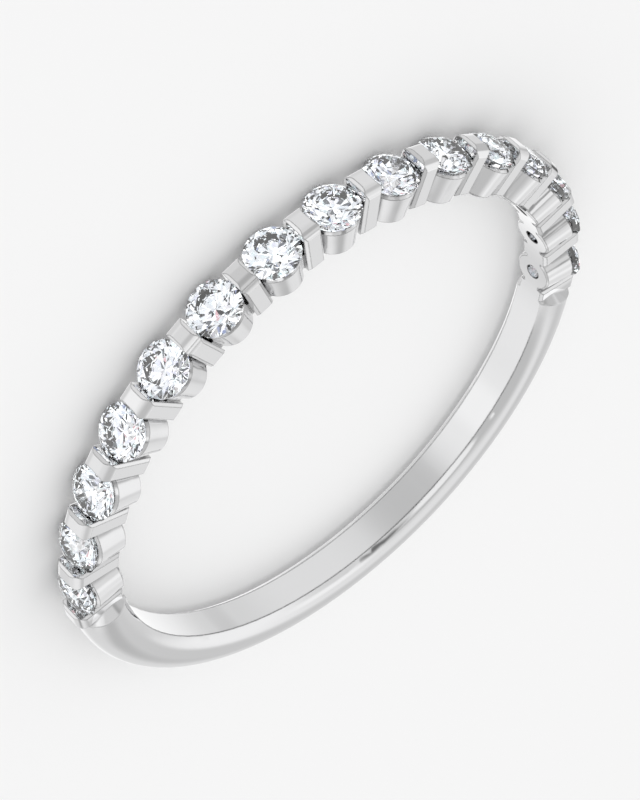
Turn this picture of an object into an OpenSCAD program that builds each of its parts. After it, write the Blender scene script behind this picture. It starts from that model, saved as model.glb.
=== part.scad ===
// Diamond anniversary band: round brilliants held between upright bars over half of the
// ring, with a plain rounded shank over the other half. Millimetres. The ring lies on its
// side: the finger hole runs along Z, its centre is the origin and the head faces -Y.

/* [Size] */
// Inside diameter of the finger hole
finger_d = 17.3; // [16.5:0.1:18.5]
// Places for a stone in one full turn, which sets the spacing
stations = 28; // [28:1:29]
// Number of stones, centred on the head
stone_n = 15; // [9:2:15]

/* [Stones] */
// Diameter of a stone over its girdle
stone_d = 1.72; // [1.6:0.02:1.74]
// Height of the girdle's middle above the finger hole
girdle_h = 1.27; // [1.2:0.01:1.3]
// Thickness of the girdle
girdle_t = 0.04; // [0.03:0.005:0.06]
// Width of the table, as a share of the diameter
table_share = 0.57; // [0.53:0.01:0.62]
// Height of the crown, as a share of the diameter
crown_share = 0.15; // [0.13:0.005:0.165]
// Depth of the pavilion, as a share of the diameter
pavilion_share = 0.43; // [0.41:0.005:0.44]
// Turn of each stone about its own axis, added from one stone to the next
stone_turn = 17; // [0:1:44]

/* [Bars] */
// Width of a bar along the band
bar_w = 0.61; // [0.56:0.01:0.66]
// Length of a bar across the band
bar_l = 1.06; // [0.96:0.02:1.2]
// Height of a bar's top above the finger hole
bar_h = 1.68; // [1.6:0.01:1.76]
// Radius of the roll at both ends of a bar's top
bar_roll_r = 0.38; // [0.3:0.01:0.42]
// How far the roll's centre lies inside the bar's end
bar_roll_in = 0.37; // [0.2:0.01:0.4]
// Bevel along the top edges and the corners of a bar
bar_bevel = 0.085; // [0.05:0.005:0.1]
// Bevel at the bar's foot, where its ends meet the finger hole
foot_bevel = 0.09; // [0.05:0.01:0.12]

/* [Cups] */
// Outside diameter of a cup just above the finger hole
cup_foot_d = 1.38; // [1.3:0.01:1.4]
// Bevel round the foot of a cup
cup_bevel = 0.05; // [0.03:0.01:0.08]
// Outside diameter of a cup at its rim
cup_rim_d = 1.6; // [1.5:0.01:1.62]
// Height of the rim above the finger hole
cup_h = 1; // [0.9:0.01:1.04]
// Diameter of the light hole under each stone
light_d = 0.52; // [0.4:0.02:0.6]

/* [Rail and shank] */
// Width of the rail that joins the bars and cups inside the head
rail_w = 0.6; // [0.5:0.02:0.7]
// Height of the rail above the finger hole
rail_h = 0.6; // [0.4:0.05:0.7]
// Diameter of the round section of the shank
shank_d = 1.73; // [1.66:0.01:1.8]
// Thickness of the shank, from the finger hole to its outside
shank_t = 1.54; // [1.48:0.01:1.6]
// Distance from the end bar's middle at which the shank's outside starts to slope down
shoulder_at = 0.38; // [0.34:0.01:0.38]
// Slope of the shank's end, in degrees
shoulder_slope = 55; // [48:1:55]

/* [Fit] */
// Gap between a stone and the metal around it
seat_gap = 0.02; // [0.015:0.005:0.03]

/* [Hidden] */

finger_r = finger_d / 2;
pitch = 360 / stations;
stone_r = stone_d / 2;
middle_stone = (stone_n + 1) / 2;
girdle_r = finger_r + girdle_h;
round_fn = 180;
small_fn = 96;

// Heights of the cut, measured from the girdle's middle
girdle_half = girdle_t / 2;
table_z = girdle_half + crown_share * stone_d;
culet_z = -girdle_half - pavilion_share * stone_d;
table_r = table_share * stone_r;

// Corners shared by star facets and kites, and by the long pavilion facets
facet_step = 45;
half_step = facet_step / 2;
star_r = 0.755 * stone_r;
lower_r = 0.24 * stone_r;
star_z = girdle_half + (table_z - girdle_half) * (stone_r - star_r * cos(half_step))
    / (stone_r - table_r);
lower_z = culet_z * (1 - lower_r * cos(half_step) / stone_r)
    - girdle_half * lower_r * cos(half_step) / stone_r;

// How far the parts of the head are drawn past the finger hole's wall, before it is cut
sunk = 0.4;
// Longer than any part of the head is high or wide
wide = 3;
// Bevel at the top of a cup's rim, under the stone
rim_bevel = 0.1;

// The head's angle, from the middle of the head to the middle of an end bar
end_bar_angle = stone_n / 2 * pitch;
shank_c = finger_r + shank_t - shank_d / 2;

// Puts its children on the band: their Z points outwards, their Y along the ring's axis
// and their X along the band
module at_angle(a) rotate([0, 0, a]) rotate([90, 0, 0]) children();

// Angle of a stone or, with a half added, of the bar after it
function station_angle(i) = (middle_stone - i) * pitch;

// A bar seen along the band: a flat top that rolls off to a crease at both ends, and
// bevels at the foot
module bar_side_outline() {
    roll_y = bar_l / 2 - bar_roll_in;
    foot_y = bar_l / 2 - foot_bevel;
    intersection() {
        translate([0, finger_r]) polygon([[-foot_y, -sunk], [-foot_y, 0],
            [-bar_l / 2, foot_bevel], [-bar_l / 2, wide], [bar_l / 2, wide],
            [bar_l / 2, foot_bevel], [foot_y, 0], [foot_y, -sunk]]);
        union() {
            translate([-roll_y, finger_r - sunk]) square([2 * roll_y, bar_h + sunk]);
            translate([-bar_l, finger_r - sunk]) square([2 * bar_l, bar_h + sunk - bar_roll_r]);
            for (s = [-1, 1])
                translate([s * roll_y, finger_r + bar_h - bar_roll_r])
                    circle(bar_roll_r, $fn = small_fn);
        }
    }
}

// A bar with bevels along its top edges and down its four corners
module bar() {
    half_w = bar_w / 2;
    half_l = bar_l / 2;
    top_z = finger_r + bar_h;
    intersection() {
        rotate([90, 0, 90]) translate([0, 0, -wide / 2]) linear_extrude(wide)
            bar_side_outline();
        rotate([90, 0, 0]) translate([0, 0, -wide / 2]) linear_extrude(wide)
            polygon([[-half_w, finger_r - 2 * sunk], [half_w, finger_r - 2 * sunk],
                [half_w, top_z - bar_bevel], [half_w - bar_bevel, top_z],
                [bar_bevel - half_w, top_z], [-half_w, top_z - bar_bevel]]);
        translate([0, 0, finger_r - sunk]) linear_extrude(wide)
            polygon([[bar_bevel - half_w, -half_l], [half_w - bar_bevel, -half_l],
                [half_w, bar_bevel - half_l], [half_w, half_l - bar_bevel],
                [half_w - bar_bevel, half_l], [bar_bevel - half_w, half_l],
                [-half_w, half_l - bar_bevel], [-half_w, bar_bevel - half_l]]);
    }
}

// Outside of a cup, from its foot bevel to the bevelled rim that the stone's pavilion meets
module cup() {
    foot_r = cup_foot_d / 2;
    rim_r = cup_rim_d / 2;
    translate([0, 0, finger_r]) rotate_extrude($fn = small_fn)
        polygon([[0, -sunk], [foot_r - cup_bevel - sunk, -sunk], [foot_r, cup_bevel],
            [rim_r, cup_h], [rim_r - rim_bevel, cup_h + rim_bevel],
            [0, cup_h + rim_bevel]]);
}

// What is cut away for a stone: its own outline with a gap all round, open to the outside
module seat() {
    pavilion_angle = atan2(pavilion_share * stone_d, stone_r);
    gap_deep = seat_gap / cos(pavilion_angle);
    gap_r = stone_r + seat_gap;
    low = culet_z - gap_deep;
    rim = low + gap_r * tan(pavilion_angle);
    crown_angle = atan2(crown_share * stone_d, stone_r - table_r);
    high = table_z + seat_gap;
    neck_r = gap_r - (high - girdle_half) / tan(crown_angle);
    translate([0, 0, girdle_r]) rotate_extrude($fn = small_fn)
        polygon([[0, low], [gap_r, rim], [gap_r, girdle_half + seat_gap], [neck_r, high],
            [neck_r, wide], [0, wide]]);
}

module light_hole() {
    translate([0, 0, finger_r - wide / 2])
        cylinder(h = wide / 2 + girdle_h + culet_z + light_d / 2, d = light_d, $fn = small_fn);
}

module rail() {
    rotate([0, 0, -90 - end_bar_angle])
        rotate_extrude(angle = 2 * end_bar_angle, $fn = round_fn)
            translate([finger_r - sunk, -rail_w / 2]) square([rail_h + sunk, rail_w]);
}

module shank_arc(from, to) {
    rotate([0, 0, from - 90]) rotate_extrude(angle = to - from, $fn = round_fn)
        translate([shank_c, 0]) circle(d = shank_d, $fn = small_fn);
}

// Cone that slopes the shank's end down to the end bar's middle. Its axis lies inside the
// shank's, so that it leaves the inner edge alone and takes most off the outside
module shoulder_cone() {
    in = 0.19;
    back = 0.7;
    ahead = 0.8;
    bend = shoulder_at * shoulder_at / 2 / shank_c;
    rim = shank_d / 2 + in - bend;
    translate([shoulder_at - back, 0, shank_c - in]) rotate([0, 90, 0])
        cylinder(h = back + ahead, r1 = rim - back * tan(shoulder_slope),
            r2 = rim + ahead * tan(shoulder_slope), $fn = small_fn);
}

module shoulder_end() {
    before = 2;
    after = 5.5;
    intersection() {
        shank_arc(end_bar_angle - before, end_bar_angle + after);
        at_angle(end_bar_angle) shoulder_cone();
    }
}

module shank() {
    lap = 4.5;
    shank_arc(end_bar_angle + lap, 360 - end_bar_angle - lap);
    shoulder_end();
    mirror([1, 0, 0]) shoulder_end();
}

module band() color([0.86, 0.86, 0.87]) {
    difference() {
        union() {
            shank();
            rail();
            for (i = [0 : stone_n]) at_angle(station_angle(i + 0.5)) bar();
            for (i = [1 : stone_n]) at_angle(station_angle(i)) cup();
        }
        cylinder(h = 2 * wide, r = finger_r, center = true, $fn = round_fn);
        for (i = [1 : stone_n]) at_angle(station_angle(i)) {
            seat();
            light_hole();
        }
    }
}

// A ring of eight corners at one height, turned by an angle
function corners(r, z, turn) = [for (i = [0 : 7])
    [r * cos(i * facet_step + turn), r * sin(i * facet_step + turn), z]];

// The girdle's sixteen corners: those under the kites, then those between them
function girdle(z) = [for (i = [0 : 15])
    [stone_r * cos(i * half_step), stone_r * sin(i * half_step), z]];

// Round brilliant with its table up and the girdle's middle at the origin: a table, star
// facets, kites and upper facets above the girdle, lower and long facets below it
module brilliant() {
    points = concat(
        corners(table_r, table_z, 0),
        corners(star_r, star_z, half_step),
        girdle(girdle_half),
        girdle(-girdle_half),
        corners(lower_r, lower_z, half_step),
        [[0, 0, culet_z]]);
    table = 0;
    star = 8;
    high = 16;
    low = 32;
    deep = 48;
    culet = 56;
    faces = concat(
        [[for (i = [7 : -1 : 0]) table + i]],
        [for (i = [0 : 7]) [table + i, table + (i + 1) % 8, star + i]],
        [for (i = [0 : 7]) [table + i, star + i, high + 2 * i, star + (i + 7) % 8]],
        [for (i = [0 : 7]) [star + i, high + 2 * i + 1, high + 2 * i]],
        [for (i = [0 : 7]) [star + i, high + (2 * i + 2) % 16, high + 2 * i + 1]],
        [for (i = [0 : 15]) [high + i, high + (i + 1) % 16, low + (i + 1) % 16, low + i]],
        [for (i = [0 : 7]) [deep + i, low + 2 * i, low + 2 * i + 1]],
        [for (i = [0 : 7]) [deep + i, low + 2 * i + 1, low + (2 * i + 2) % 16]],
        [for (i = [0 : 7]) [culet, deep + (i + 7) % 8, low + 2 * i, deep + i]]);
    polyhedron(points, faces);
}

module stone(i) color([0.93, 0.95, 0.98])
    at_angle(station_angle(i)) translate([0, 0, girdle_r])
        rotate([0, 0, stone_turn * i]) brilliant();

band();
stone(1);  // stone_01
stone(2);  // stone_02
stone(3);  // stone_03
stone(4);  // stone_04
stone(5);  // stone_05
stone(6);  // stone_06
stone(7);  // stone_07
stone(8);  // stone_08
stone(9);  // stone_09
stone(10);  // stone_10
stone(11);  // stone_11
stone(12);  // stone_12
stone(13);  // stone_13
stone(14);  // stone_14
stone(15);  // stone_15
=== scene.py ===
import math

import bpy
from mathutils import Matrix, Vector

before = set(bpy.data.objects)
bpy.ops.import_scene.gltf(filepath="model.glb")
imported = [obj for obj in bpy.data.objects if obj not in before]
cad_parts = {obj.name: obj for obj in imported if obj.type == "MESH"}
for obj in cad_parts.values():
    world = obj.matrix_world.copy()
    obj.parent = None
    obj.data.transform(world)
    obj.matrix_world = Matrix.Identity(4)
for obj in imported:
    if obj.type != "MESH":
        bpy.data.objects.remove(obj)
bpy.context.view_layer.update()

MM = 0.001

# Directions are an azimuth and an elevation in degrees. Azimuth 0 is where the middle of
# the stones faces and 90 is towards the first stone. Elevation 90 is straight up.

# The camera at the photograph's angle: the side it stands on, how far the picture is
# turned about the view, the point that it looks at and the distance to that point
CAMERA_SIDE = (25.2074, 26.1893)
CAMERA_ROLL = 133.4557
CAMERA_AIM = Vector((0.0245, -0.241, -0.4646)) * MM
CAMERA_DISTANCE = 80.6415 * MM
CAMERA_LENS = 116.77
CAMERA_SENSOR = 36.0
CAMERA_CLIP = (0.001, 10.0)

# The paper under the ring
FLOOR_Z = -0.865 * MM
FLOOR_HALF = 0.6
FLOOR_COLOUR = (0.9, 0.9, 0.9, 1.0)
FLOOR_ROUGHNESS = 0.9

# Stretches along Y over which the look of the head gives way to that of the shoulders,
# and that of the shoulders to that of the shank
HEAD_END = (0.95 * MM, 1.15 * MM)
SHOULDER_END = (1.9 * MM, 2.5 * MM)

# Colour of the polished metal, and its colour where it is seen in another reflection
GOLD = (0.775, 0.775, 0.78)
GOLD_REFLECTED = (0.88, 0.88, 0.885, 1.0)
GOLD_REFLECTED_ROUGHNESS = 0.05
# Haze left by polishing, as a noise that moves the roughness within a range
HAZE_SCALE = 3000.0
HAZE_DETAIL = 3.0
HAZE_NOISE = (0.3, 0.7)
HAZE_ROUGHNESS = (0.03, 0.06)
# Radii that the edges of the head and of the shank seem to have
HEAD_EDGE = 0.05 * MM
SHANK_EDGE = 0.08 * MM
# How deep the painted shade is as a fine dark line along such an edge, and the cosines of
# the edge's bend over which it fades
HEAD_LINE = 0.65
SHOULDER_LINE = 0.2
SHANK_LINE = 0.95
LINE_BEND = (0.95, 0.998)
# Painted highlight: the head's faces along the band's two sides are painted brighter by
# this share, which comes in over a range of the normal's Z
PAINTED_SIDE_HIGHLIGHT = 0.275
SIDE_NORMAL = (0.93, 0.985)
# Painted shade in inner corners: how far round itself the metal looks for a neighbour, the
# openness over which the painted shade fades, and the tone that it starts from
CORNER_REACH = 0.3 * MM
CORNER_OPEN = (0.2, 0.68)
CORNER_TONE = 0.3
# Rays for each look at an edge or a corner
FINE_SAMPLES = 4

DIAMOND_IOR = 2.417
# Painted fire: spots of colour on the stones, in small cells, for the coloured flashes that a
# cut stone throws. Each cell has a random number, and each colour the number from which it
# is taken: mostly clear, with spots of blue, green, violet and rose.
PAINTED_FIRE_SCALE = 7000.0
PAINTED_FIRE = [
    (0.0, (1.0, 1.0, 1.0)),
    (0.74, (0.88, 0.96, 1.0)),
    (0.86, (0.84, 1.0, 0.98)),
    (0.92, (0.86, 0.84, 1.0)),
    (0.98, (1.0, 0.92, 0.93)),
]
# What light passed on by a stone finds: the room in small pieces, most of them bright,
# in the same form as the painted fire
SPARKLE_SCALE = 6.0
SPARKLE = [
    (0.0, (0.01, 0.01, 0.015)),
    (0.04, (0.12, 0.13, 0.15)),
    (0.09, (0.3, 0.35, 0.54)),
    (0.12, (0.52, 0.54, 0.58)),
    (0.23, (0.82, 0.85, 0.9)),
    (0.45, (1.06, 1.1, 1.13)),
    (0.75, (1.6, 1.6, 1.6)),
    (0.985, (0.75, 0.48, 0.52)),
]

# Light of the whole studio, the light that the paper gets from all round, and the tone of
# the studio between its panels
STUDIO_STRENGTH = 1.29
PAPER_LIGHT = 0.825
STUDIO_TONE = 0.64
# The studio round the ring, as soft panels far away. Each has the direction of its middle,
# its half width and half height in degrees, the softness of its rim as a share of its size
# and the tone that it gives. A later panel covers an earlier one.
PANELS = {
    "far": ((-173, 57), (43, 24), 0.34, 0.73),
    "left": ((-97, 38), (31, 20), 0.60, 0.85),
    "left_top": ((-89, 66), (9, 11), 0.60, 0.86),
    "low_front": ((-34, -32), (25, 26), 0.60, 0.71),
    "low_left": ((-149, -34), (35, 16), 0.60, 0.85),
    "low_right": ((71, -34), (24, 24), 0.41, 0.80),
    "low_far_right": ((114, -9), (24, 32), 0.60, 0.79),
    "far_left": ((-148, 3), (17, 16), 0.25, 0.60),
    "valley": ((-147, 30), (10, 17), 0.60, 0.56),
    "notch": ((176, 26), (20, 15), 0.60, 0.46),
    "right_low": ((147, 22), (20, 14), 0.60, 0.79),
    "right": ((108, 57), (30, 22), 0.51, 0.50),
    "top": ((27, 86), (16, 3), 0.60, 0.43),
    "top_right": ((52, 71), (12, 9), 0.15, 0.82),
    "line": ((24, 59), (27, 5), 0.35, 0.30),
    "flag": ((-28, 72), (8, 5), 0.60, 0.15),
    "front_right": ((72, -14), (9, 34), 0.51, 0.87),
    "front_lit": ((47, 34), (9, 21), 0.20, 0.90),
    "front_mid": ((34, -5), (6, 20), 0.15, 0.60),
    "front": ((20, 4), (18, 29), 0.70, 0.40),
    "front_up": ((16, 40), (19, 10), 0.15, 0.60),
    "front_left": ((-16, 36), (9, 11), 0.49, 0.31),
    "mid_left": ((-33, 31), (16, 13), 0.60, 0.50),
    "left_front": ((-71, 18), (12, 16), 0.33, 0.52),
    "side": ((-86, -1), (9, 23), 0.22, 0.49),
    "dark_left": ((-119, -4), (11, 7), 0.50, 0.10),
    "dark_right": ((153, 5), (7, 5), 0.40, 0.22),
}
# How square the panels are: 2 gives ellipses, more gives rounded boxes
PANEL_SQUARENESS = 3.0
# What a direction beside or behind a panel counts as ahead, so that nothing divides by 0
LEAST_AHEAD = 0.001


def direction(azimuth, elevation):
    a, e = math.radians(azimuth), math.radians(elevation)
    return Vector((math.sin(a) * math.cos(e), -math.cos(a) * math.cos(e), math.sin(e)))


def axes_towards(azimuth, elevation):
    """The axes of a picture looked at from a side: to its right, up and out of it."""
    out = direction(azimuth, elevation)
    right = direction(azimuth + 90, 0)
    return right, out.cross(right), out


def add_camera():
    data = bpy.data.cameras.new("camera")
    data.lens = CAMERA_LENS
    data.sensor_width = CAMERA_SENSOR
    data.clip_start, data.clip_end = CAMERA_CLIP
    camera = bpy.data.objects.new("camera", data)
    right, up, out = axes_towards(*CAMERA_SIDE)
    stand = Matrix.Translation(CAMERA_AIM + out * CAMERA_DISTANCE)
    turn = Matrix((right, up, out)).transposed().to_4x4()
    roll = Matrix.Rotation(math.radians(CAMERA_ROLL), 4, "Z")
    camera.matrix_world = stand @ turn @ roll
    bpy.context.scene.collection.objects.link(camera)
    bpy.context.scene.camera = camera


def new_material(name):
    material = bpy.data.materials.new(name)
    material.use_nodes = True
    tree = material.node_tree
    return material, tree, tree.nodes["Principled BSDF"]


def add_math(tree, operation, *values):
    """Adds a maths node and returns its output; each value is a socket or a number."""
    node = tree.nodes.new("ShaderNodeMath")
    node.operation = operation
    for socket, value in zip(node.inputs, values):
        if isinstance(value, bpy.types.NodeSocket):
            tree.links.new(value, socket)
        else:
            socket.default_value = value
    return node.outputs["Value"]


def add_dot(tree, first, second):
    """Adds the dot product of a socket with a socket or a vector, and returns its output."""
    node = tree.nodes.new("ShaderNodeVectorMath")
    node.operation = "DOT_PRODUCT"
    tree.links.new(first, node.inputs[0])
    if isinstance(second, bpy.types.NodeSocket):
        tree.links.new(second, node.inputs[1])
    else:
        node.inputs[1].default_value = second
    return node.outputs["Value"]


def add_part(tree, vector, axis):
    """Adds a split of a vector and returns one of its parts."""
    node = tree.nodes.new("ShaderNodeSeparateXYZ")
    tree.links.new(vector, node.inputs["Vector"])
    return node.outputs[axis]


def add_ease(tree, value, from_range, to_range=(0.0, 1.0)):
    """Adds a smooth step from one range to another and returns its output."""
    node = tree.nodes.new("ShaderNodeMapRange")
    node.interpolation_type = "SMOOTHSTEP"
    node.inputs["From Min"].default_value, node.inputs["From Max"].default_value = from_range
    node.inputs["To Min"].default_value, node.inputs["To Max"].default_value = to_range
    tree.links.new(value, node.inputs["Value"])
    return node.outputs["Result"]


def add_steps(tree, value, stops):
    """Adds a ramp of flat steps, each a place and a colour, and returns its output."""
    node = tree.nodes.new("ShaderNodeValToRGB")
    ramp = node.color_ramp
    ramp.interpolation = "CONSTANT"
    while len(ramp.elements) > 1:
        ramp.elements.remove(ramp.elements[-1])
    ramp.elements[0].position = stops[0][0]
    ramp.elements[0].color = (*stops[0][1], 1.0)
    for place, colour in stops[1:]:
        ramp.elements.new(place).color = (*colour, 1.0)
    tree.links.new(value, node.inputs["Fac"])
    return node.outputs["Color"]


def add_cells(tree, vector, scale):
    """Adds a pattern of cells and returns a random number for each cell."""
    cells = tree.nodes.new("ShaderNodeTexVoronoi")
    cells.inputs["Scale"].default_value = scale
    tree.links.new(vector, cells.inputs["Vector"])
    split = tree.nodes.new("ShaderNodeSeparateColor")
    tree.links.new(cells.outputs["Color"], split.inputs["Color"])
    return split.outputs["Red"]


def add_choice(tree, ray, otherwise, shader):
    """Adds a shader that is one for a kind of ray and another otherwise."""
    path = tree.nodes.new("ShaderNodeLightPath")
    node = tree.nodes.new("ShaderNodeMixShader")
    tree.links.new(path.outputs[ray], node.inputs["Fac"])
    tree.links.new(otherwise, node.inputs[1])
    tree.links.new(shader, node.inputs[2])
    return node.outputs["Shader"]


def add_haze(tree, place):
    """The roughness: a trace of the haze that polishing leaves."""
    noise = tree.nodes.new("ShaderNodeTexNoise")
    noise.inputs["Scale"].default_value = HAZE_SCALE
    noise.inputs["Detail"].default_value = HAZE_DETAIL
    tree.links.new(place, noise.inputs["Vector"])
    return add_ease(tree, noise.outputs["Fac"], HAZE_NOISE, HAZE_ROUGHNESS)


def add_edge_normal(tree, back):
    """The normal with its fine edges rounded, less on the head than on the shank."""
    edges = tree.nodes.new("ShaderNodeBevel")
    edges.samples = FINE_SAMPLES
    radius = add_ease(tree, back, HEAD_END, (HEAD_EDGE, SHANK_EDGE))
    tree.links.new(radius, edges.inputs["Radius"])
    return edges.outputs["Normal"]


def add_painted_edge_line(tree, back, face, rounded):
    """The tone of the painted dark line, a painted shade along an edge, faint on the
    shoulders.
    """
    bend = add_ease(tree, add_dot(tree, face, rounded), LINE_BEND, (-1.0, 0.0))
    depth = add_ease(tree, back, HEAD_END, (HEAD_LINE, SHOULDER_LINE))
    more = add_ease(tree, back, SHOULDER_END, (0.0, SHANK_LINE - SHOULDER_LINE))
    return add_math(tree, "MULTIPLY_ADD", bend, add_math(tree, "ADD", depth, more), 1.0)


def add_painted_side_highlight(tree, back, face):
    """The painted highlight on the faces along the band's two sides, brighter on the head."""
    share = add_ease(tree, add_math(tree, "ABSOLUTE", add_part(tree, face, "Z")), SIDE_NORMAL)
    painted_highlight = add_ease(tree, back, HEAD_END, (PAINTED_SIDE_HIGHLIGHT, 0.0))
    return add_math(tree, "MULTIPLY_ADD", share, painted_highlight, 1.0)


def add_corner_shade(tree):
    """The painted shade on the metal near a neighbour."""
    corners = tree.nodes.new("ShaderNodeAmbientOcclusion")
    corners.samples = FINE_SAMPLES
    corners.inputs["Distance"].default_value = CORNER_REACH
    return add_ease(tree, corners.outputs["AO"], CORNER_OPEN, (CORNER_TONE, 1.0))


def white_gold():
    """Polished metal: fine edges, haze, painted dark edge lines, corner shade and side
    highlight.
    """
    material, tree, shader = new_material("polished_white_gold")
    shader.inputs["Metallic"].default_value = 1.0
    place = tree.nodes.new("ShaderNodeTexCoord").outputs["Object"]
    face = tree.nodes.new("ShaderNodeNewGeometry").outputs["Normal"]
    back = add_part(tree, place, "Y")

    rounded = add_edge_normal(tree, back)
    tree.links.new(rounded, shader.inputs["Normal"])
    tree.links.new(add_haze(tree, place), shader.inputs["Roughness"])

    # Base colour with painted light: the side highlight, the dark edge lines and the corner
    # shade
    tone = add_math(tree, "MULTIPLY", add_painted_side_highlight(tree, back, face),
                    add_painted_edge_line(tree, back, face, rounded))
    colour = tree.nodes.new("ShaderNodeVectorMath")
    colour.operation = "SCALE"
    colour.inputs["Vector"].default_value = GOLD
    tree.links.new(add_math(tree, "MULTIPLY", tone, add_corner_shade(tree)),
                   colour.inputs["Scale"])
    tree.links.new(colour.outputs["Vector"], shader.inputs["Base Color"])

    # The rounded edges, the haze and the painted edge lines, corner shade and side highlight
    # show only where the metal is seen directly, so reflections leave them out
    plain = tree.nodes.new("ShaderNodeBsdfPrincipled")
    plain.inputs["Metallic"].default_value = 1.0
    plain.inputs["Roughness"].default_value = GOLD_REFLECTED_ROUGHNESS
    plain.inputs["Base Color"].default_value = GOLD_REFLECTED
    surface = add_choice(tree, "Is Camera Ray", plain.outputs["BSDF"], shader.outputs["BSDF"])
    tree.links.new(surface, tree.nodes["Material Output"].inputs["Surface"])
    return material


def diamond():
    """Clear stone, with painted fire: pale spots of the colours that a cut stone throws."""
    material, tree, shader = new_material("diamond")
    shader.inputs["Roughness"].default_value = 0.0
    shader.inputs["IOR"].default_value = DIAMOND_IOR
    shader.inputs["Transmission Weight"].default_value = 1.0
    place = tree.nodes.new("ShaderNodeTexCoord").outputs["Object"]
    # Painted fire in the base colour: coloured spots for the flashes of a cut stone
    painted_fire_spots = add_steps(tree, add_cells(tree, place, PAINTED_FIRE_SCALE), PAINTED_FIRE)
    tree.links.new(painted_fire_spots, shader.inputs["Base Color"])
    return material


def floor_paper():
    """Matt paper. The metal reflects the studio below the floor's edge in its place."""
    material, tree, shader = new_material("floor_paper")
    shader.inputs["Base Color"].default_value = FLOOR_COLOUR
    shader.inputs["Roughness"].default_value = FLOOR_ROUGHNESS
    clear = tree.nodes.new("ShaderNodeBsdfTransparent")
    surface = add_choice(tree, "Is Glossy Ray", shader.outputs["BSDF"], clear.outputs["BSDF"])
    tree.links.new(surface, tree.nodes["Material Output"].inputs["Surface"])
    return material


def dress(names, material):
    for name in names:
        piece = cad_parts[name]
        piece.data.materials.clear()
        piece.data.materials.append(material)


def add_floor():
    mesh = bpy.data.meshes.new("floor")
    half = FLOOR_HALF
    mesh.from_pydata([(-half, -half, FLOOR_Z), (half, -half, FLOOR_Z),
                      (half, half, FLOOR_Z), (-half, half, FLOOR_Z)], [], [(0, 1, 2, 3)])
    mesh.materials.append(floor_paper())
    floor = bpy.data.objects.new("floor", mesh)
    bpy.context.scene.collection.objects.link(floor)


def add_panel(tree, look, tone, side, half_size, soft, panel_tone):
    """Lays one soft panel over the tone so far and returns the new tone."""
    right, up, out = axes_towards(*side)
    ahead = add_math(tree, "MAXIMUM", add_dot(tree, look, out), LEAST_AHEAD)
    rim = 0.0
    for axis, half in zip((right, up), half_size):
        share = add_math(tree, "DIVIDE", add_dot(tree, look, axis), ahead)
        share = add_math(tree, "DIVIDE", share, math.tan(math.radians(half)))
        share = add_math(tree, "POWER", add_math(tree, "ABSOLUTE", share), PANEL_SQUARENESS)
        rim = add_math(tree, "ADD", share, rim)
    rim = add_math(tree, "POWER", rim, 1 / PANEL_SQUARENESS)
    inside = add_ease(tree, rim, (1 - soft, 1 + soft), (1.0, 0.0))
    change = add_math(tree, "SUBTRACT", panel_tone, tone)
    return add_math(tree, "MULTIPLY_ADD", change, inside, tone)


def add_background(tree, colour):
    """Adds a background of one colour, a socket or a grey, and returns its output."""
    node = tree.nodes.new("ShaderNodeBackground")
    node.inputs["Strength"].default_value = STUDIO_STRENGTH
    if isinstance(colour, bpy.types.NodeSocket):
        tree.links.new(colour, node.inputs["Color"])
    else:
        node.inputs["Color"].default_value = (colour, colour, colour, 1.0)
    return node.outputs["Background"]


def add_light():
    """Makes the studio: its panels for the metal, small pieces of it for the stones."""
    world = bpy.data.worlds.new("studio")
    bpy.context.scene.world = world
    world.use_nodes = True
    tree = world.node_tree
    tree.nodes.clear()
    look = tree.nodes.new("ShaderNodeTexCoord").outputs["Generated"]
    tone = STUDIO_TONE
    for panel in PANELS.values():
        tone = add_panel(tree, look, tone, *panel)

    pieces = add_steps(tree, add_cells(tree, look, SPARKLE_SCALE), SPARKLE)
    surface = add_choice(tree, "Is Transmission Ray", add_background(tree, tone),
                         add_background(tree, pieces))
    surface = add_choice(tree, "Is Diffuse Ray", surface, add_background(tree, PAPER_LIGHT))
    output = tree.nodes.new("ShaderNodeOutputWorld")
    tree.links.new(surface, output.inputs["Surface"])


add_camera()
dress(["band"], white_gold())
dress([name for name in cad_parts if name.startswith("stone")], diamond())
add_floor()
add_light()
bpy.context.scene.view_settings.view_transform = "Standard"
